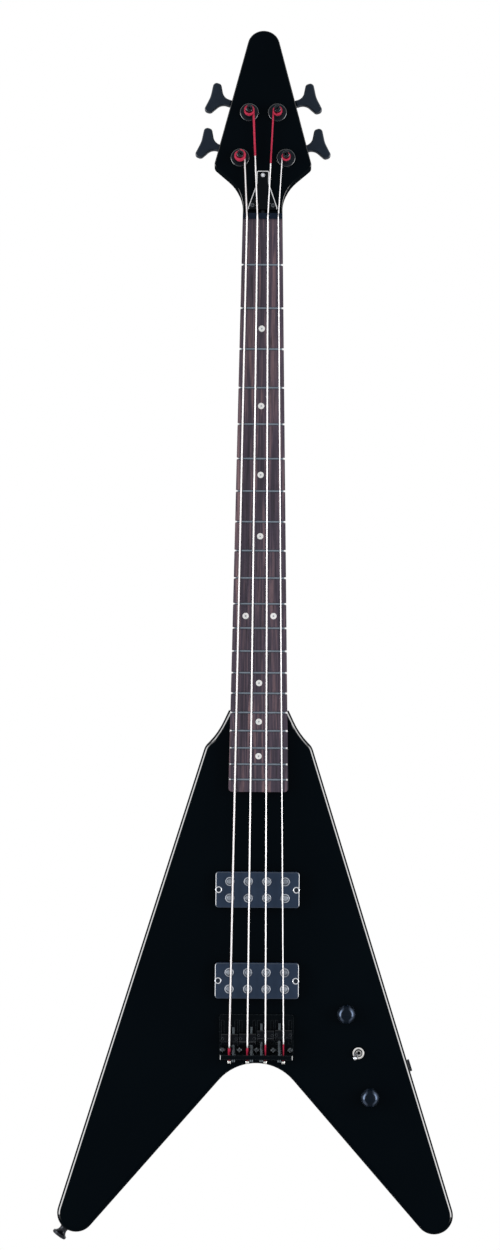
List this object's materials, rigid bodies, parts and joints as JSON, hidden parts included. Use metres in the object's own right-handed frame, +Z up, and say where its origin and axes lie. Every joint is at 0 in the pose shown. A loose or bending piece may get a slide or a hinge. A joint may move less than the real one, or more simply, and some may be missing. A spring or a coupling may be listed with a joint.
{
  "type": "electric bass guitar",
  "caption": "Electric bass guitar with a gloss black V-shaped body, dark fretboard with dot markers, soapbar pickups, clover tuning keys and a toggle switch.",
  "frame": {"origin": "on the centre line at the front edge of the nut, on the glue plane between neck and fretboard", "axes": "+Z up the neck to the headstock, -Y out of the fretboard towards the player's view, +X to the viewer's right"},
  "size_m": [0.4237, 0.0812, 1.2877],
  "materials": {
    "black_lacquer": "gloss black lacquer over wood",
    "black_plastic": "black moulded plastic",
    "rosewood": "oiled dark rosewood with streaky grain",
    "fret_steel": "polished nickel silver and steel",
    "pearl": "pearl inlay plastic",
    "black_metal": "black plated metal",
    "brass": "machined brass",
    "string_steel": "round-wound steel, red silk at the ends",
    "pickup_plastic": "satin black cover with grey pole discs",
    "foam": "compressed foam rubber pad",
    "chrome": "bright chrome",
    "pot_steel": "pressed steel can",
    "wire_cover": "insulated lead",
    "ceramic": "dipped ceramic disc"
  },
  "bodies": {
    "instrument": {"body": "black_lacquer", "neck": "black_lacquer", "control_cover": "black_plastic", "truss_rod_cover": "black_plastic", "switch_body": "black_plastic", "nut": "black_plastic", "fretboard": "rosewood", "frets": "fret_steel", "truss_rod": "fret_steel", "position_markers": "pearl", "neck_plate": "black_metal", "tuner_plates": "black_metal", "tuner_ferrules": "black_metal", "bridge_plate": "black_metal", "bridge_screws": "black_metal", "neck_screws": "black_metal", "jack_plate": "black_metal", "strap_buttons": "black_metal", "strap_button_screws": "black_metal", "small_screws": "black_metal", "string_e": "string_steel", "intonation_spring_e": "fret_steel", "string_a": "string_steel", "intonation_spring_a": "fret_steel", "string_d": "string_steel", "intonation_spring_d": "fret_steel", "string_g": "string_steel", "intonation_spring_g": "fret_steel", "pickup_foam": "foam", "panel_nuts": "chrome", "output_jack": "chrome", "potentiometers": "pot_steel", "wiring": "wire_cover", "tone_capacitor": "ceramic"},
    "key_e": {"tuner_key_e": "black_metal"},
    "post_e": {"tuner_post_e": "black_metal", "tuner_gear_e": "brass"},
    "intonation_e": {"intonation_screw_e": "fret_steel"},
    "saddle_e": {"saddle_e": "black_metal"},
    "key_a": {"tuner_key_a": "black_metal"},
    "post_a": {"tuner_post_a": "black_metal", "tuner_gear_a": "brass"},
    "intonation_a": {"intonation_screw_a": "fret_steel"},
    "saddle_a": {"saddle_a": "black_metal"},
    "key_d": {"tuner_key_d": "black_metal"},
    "post_d": {"tuner_post_d": "black_metal", "tuner_gear_d": "brass"},
    "intonation_d": {"intonation_screw_d": "fret_steel"},
    "saddle_d": {"saddle_d": "black_metal"},
    "key_g": {"tuner_key_g": "black_metal"},
    "post_g": {"tuner_post_g": "black_metal", "tuner_gear_g": "brass"},
    "intonation_g": {"intonation_screw_g": "fret_steel"},
    "saddle_g": {"saddle_g": "black_metal"},
    "volume_knob": {"volume_knob": "black_plastic"},
    "tone_knob": {"tone_knob": "black_plastic"},
    "toggle": {"toggle_lever": "chrome"},
    "truss_nut": {"truss_rod_nut": "fret_steel"},
    "neck_pickup": {"neck_pickup": "pickup_plastic"},
    "bridge_pickup": {"bridge_pickup": "pickup_plastic"}
  },
  "joints": [
    {"name": "key_e_turn", "type": "hinge", "parent": "instrument", "child": "key_e", "pos_m": [-0.02122, 0.03622, 0.07024], "axis": [-0.9472, 0.0776, 0.3112], "continuous": true},
    {"name": "post_e_turn", "type": "hinge", "parent": "instrument", "child": "post_e", "pos_m": [-0.0243, 0.015, 0.06616], "axis": [0, -0.9703, 0.2419], "continuous": true},
    {"name": "intonation_e_turn", "type": "hinge", "parent": "instrument", "child": "intonation_e", "pos_m": [-0.0242, -0.0065, -0.887], "axis": [0, 0, 1], "range_deg": [-1034, 2577]},
    {"name": "saddle_e_slide", "type": "slide", "parent": "instrument", "child": "saddle_e", "axis": [0, 0, 1], "range_m": [-0.002, 0.005], "deforming": ["intonation_spring_e"]},
    {"name": "key_a_turn", "type": "hinge", "parent": "instrument", "child": "key_a", "pos_m": [-0.01182, 0.04853, 0.11963], "axis": [-0.9472, 0.0776, 0.3112], "continuous": true},
    {"name": "post_a_turn", "type": "hinge", "parent": "instrument", "child": "post_a", "pos_m": [-0.0149, 0.02731, 0.11555], "axis": [0, -0.9703, 0.2419], "continuous": true},
    {"name": "intonation_a_turn", "type": "hinge", "parent": "instrument", "child": "intonation_a", "pos_m": [-0.0052, -0.0065, -0.887], "axis": [0, 0, 1], "range_deg": [-1034, 2577]},
    {"name": "saddle_a_slide", "type": "slide", "parent": "instrument", "child": "saddle_a", "axis": [0, 0, 1], "range_m": [-0.002, 0.005], "deforming": ["intonation_spring_a"]},
    {"name": "key_d_turn", "type": "hinge", "parent": "instrument", "child": "key_d", "pos_m": [0.01182, 0.04853, 0.11963], "axis": [0.9472, 0.0776, 0.3112], "continuous": true},
    {"name": "post_d_turn", "type": "hinge", "parent": "instrument", "child": "post_d", "pos_m": [0.0149, 0.02731, 0.11555], "axis": [0, -0.9703, 0.2419], "continuous": true},
    {"name": "intonation_d_turn", "type": "hinge", "parent": "instrument", "child": "intonation_d", "pos_m": [0.0052, -0.0065, -0.887], "axis": [0, 0, 1], "range_deg": [-1034, 2577]},
    {"name": "saddle_d_slide", "type": "slide", "parent": "instrument", "child": "saddle_d", "axis": [0, 0, 1], "range_m": [-0.002, 0.005], "deforming": ["intonation_spring_d"]},
    {"name": "key_g_turn", "type": "hinge", "parent": "instrument", "child": "key_g", "pos_m": [0.02122, 0.03622, 0.07024], "axis": [0.9472, 0.0776, 0.3112], "continuous": true},
    {"name": "post_g_turn", "type": "hinge", "parent": "instrument", "child": "post_g", "pos_m": [0.0243, 0.015, 0.06616], "axis": [0, -0.9703, 0.2419], "continuous": true},
    {"name": "intonation_g_turn", "type": "hinge", "parent": "instrument", "child": "intonation_g", "pos_m": [0.0242, -0.0065, -0.887], "axis": [0, 0, 1], "range_deg": [-1034, 2577]},
    {"name": "saddle_g_slide", "type": "slide", "parent": "instrument", "child": "saddle_g", "axis": [0, 0, 1], "range_m": [-0.002, 0.005], "deforming": ["intonation_spring_g"]},
    {"name": "volume_turn", "type": "hinge", "parent": "instrument", "child": "volume_knob", "pos_m": [0.0947, 0.0025, -0.839], "axis": [0, -1, 0], "range_deg": [-150, 150]},
    {"name": "tone_turn", "type": "hinge", "parent": "instrument", "child": "tone_knob", "pos_m": [0.1204, 0.0025, -0.927], "axis": [0, -1, 0], "range_deg": [-150, 150]},
    {"name": "toggle_throw", "type": "hinge", "parent": "instrument", "child": "toggle", "pos_m": [0.10793, 0.0001, -0.88002], "axis": [-0.7071, 0, 0.7071], "range_deg": [0, 40]},
    {"name": "truss_nut_turn", "type": "hinge", "parent": "instrument", "child": "truss_nut", "pos_m": [0, 0.0064, 0.0064], "axis": [0, 0, 1], "range_deg": [-180, 180]},
    {"name": "neck_pickup_height", "type": "slide", "parent": "instrument", "child": "neck_pickup", "axis": [0, -1, 0], "range_m": [0, 0.003]},
    {"name": "bridge_pickup_height", "type": "slide", "parent": "instrument", "child": "bridge_pickup", "axis": [0, -1, 0], "range_m": [0, 0.003]}
  ],
  "couplings": [
    {"joint": "post_e_turn", "follows": "key_e_turn", "ratio": 0.05},
    {"joint": "intonation_e_turn", "follows": "saddle_e_slide", "rad_per_m": 8976},
    {"joint": "post_a_turn", "follows": "key_a_turn", "ratio": 0.05},
    {"joint": "intonation_a_turn", "follows": "saddle_a_slide", "rad_per_m": 8976},
    {"joint": "post_d_turn", "follows": "key_d_turn", "ratio": 0.05},
    {"joint": "intonation_d_turn", "follows": "saddle_d_slide", "rad_per_m": 8976},
    {"joint": "post_g_turn", "follows": "key_g_turn", "ratio": 0.05},
    {"joint": "intonation_g_turn", "follows": "saddle_g_slide", "rad_per_m": 8976}
  ]
}
